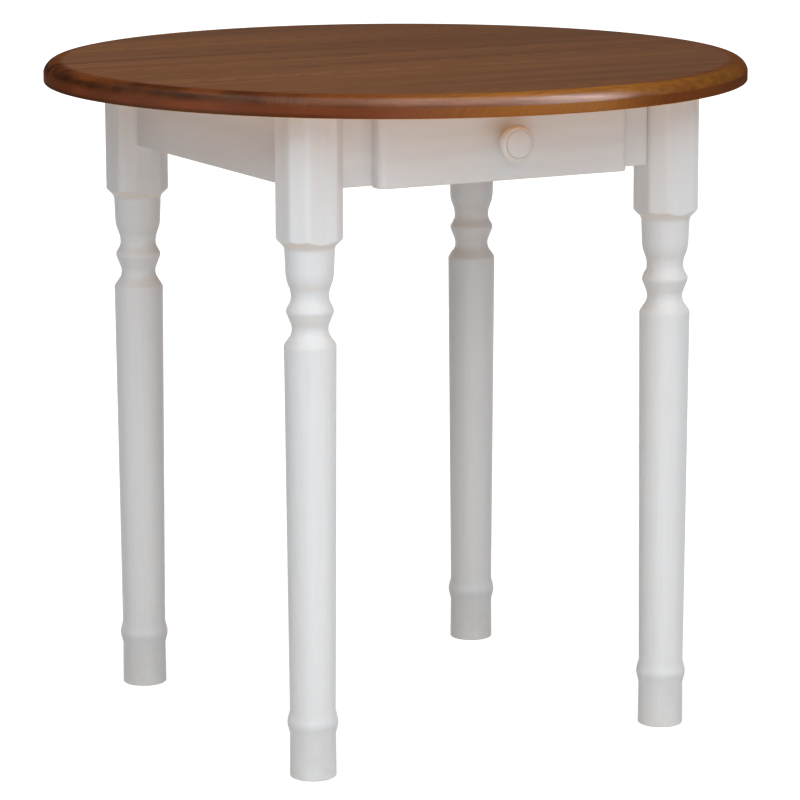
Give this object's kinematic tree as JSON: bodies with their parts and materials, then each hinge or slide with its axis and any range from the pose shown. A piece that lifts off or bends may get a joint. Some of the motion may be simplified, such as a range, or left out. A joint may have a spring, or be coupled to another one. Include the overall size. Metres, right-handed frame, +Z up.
{
  "type": "round dining table",
  "caption": "Round dining table: stained wooden top with a moulded rim on white turned legs and aprons, with a shallow knobbed drawer that slides out at the front.",
  "frame": {"origin": "on the floor, under the centre of the round top", "axes": "+Z up, the drawer opens towards -Y, +X to the right when looking at the drawer front"},
  "size_m": [0.8, 0.8, 0.76],
  "materials": {
    "stained_top": "walnut stain under satin varnish",
    "white_paint": "satin white paint over pine",
    "bare_pine": "planed, unfinished",
    "plywood": "sanded plywood",
    "beech_dowel": "fluted beech",
    "zinc_steel": "zinc plated"
  },
  "bodies": {
    "frame": {"top_board_1": "stained_top", "top_board_2": "stained_top", "top_board_3": "stained_top", "top_board_4": "stained_top", "top_board_5": "stained_top", "top_board_6": "stained_top", "top_board_7": "stained_top", "top_board_8": "stained_top", "leg_front_left": "white_paint", "leg_front_right": "white_paint", "leg_back_right": "white_paint", "leg_back_left": "white_paint", "apron_left": "white_paint", "apron_right": "white_paint", "apron_back": "white_paint", "front_stile_left": "white_paint", "front_stile_right": "white_paint", "front_rail_top": "bare_pine", "front_rail_bottom": "bare_pine", "corner_block_front_left": "bare_pine", "corner_block_front_right": "bare_pine", "corner_block_back_right": "bare_pine", "corner_block_back_left": "bare_pine", "drawer_guide_left": "bare_pine", "drawer_runner_left": "bare_pine", "drawer_kicker_left": "bare_pine", "drawer_guide_right": "bare_pine", "drawer_runner_right": "bare_pine", "drawer_kicker_right": "bare_pine", "hanger_bolts": "zinc_steel", "bolt_washers": "zinc_steel", "bolt_nuts": "zinc_steel", "corner_block_screws": "zinc_steel", "top_screws": "zinc_steel", "frame_dowels": "beech_dowel"},
    "drawer": {"drawer_front": "white_paint", "drawer_side_left": "bare_pine", "drawer_side_right": "bare_pine", "drawer_back": "bare_pine", "drawer_bottom": "plywood", "drawer_knob": "white_paint", "knob_screw": "zinc_steel", "drawer_dowels": "beech_dowel"}
  },
  "joints": [
    {"name": "drawer_slide", "type": "slide", "parent": "frame", "child": "drawer", "axis": [0, -1, 0], "range_m": [0, 0.28]}
  ]
}
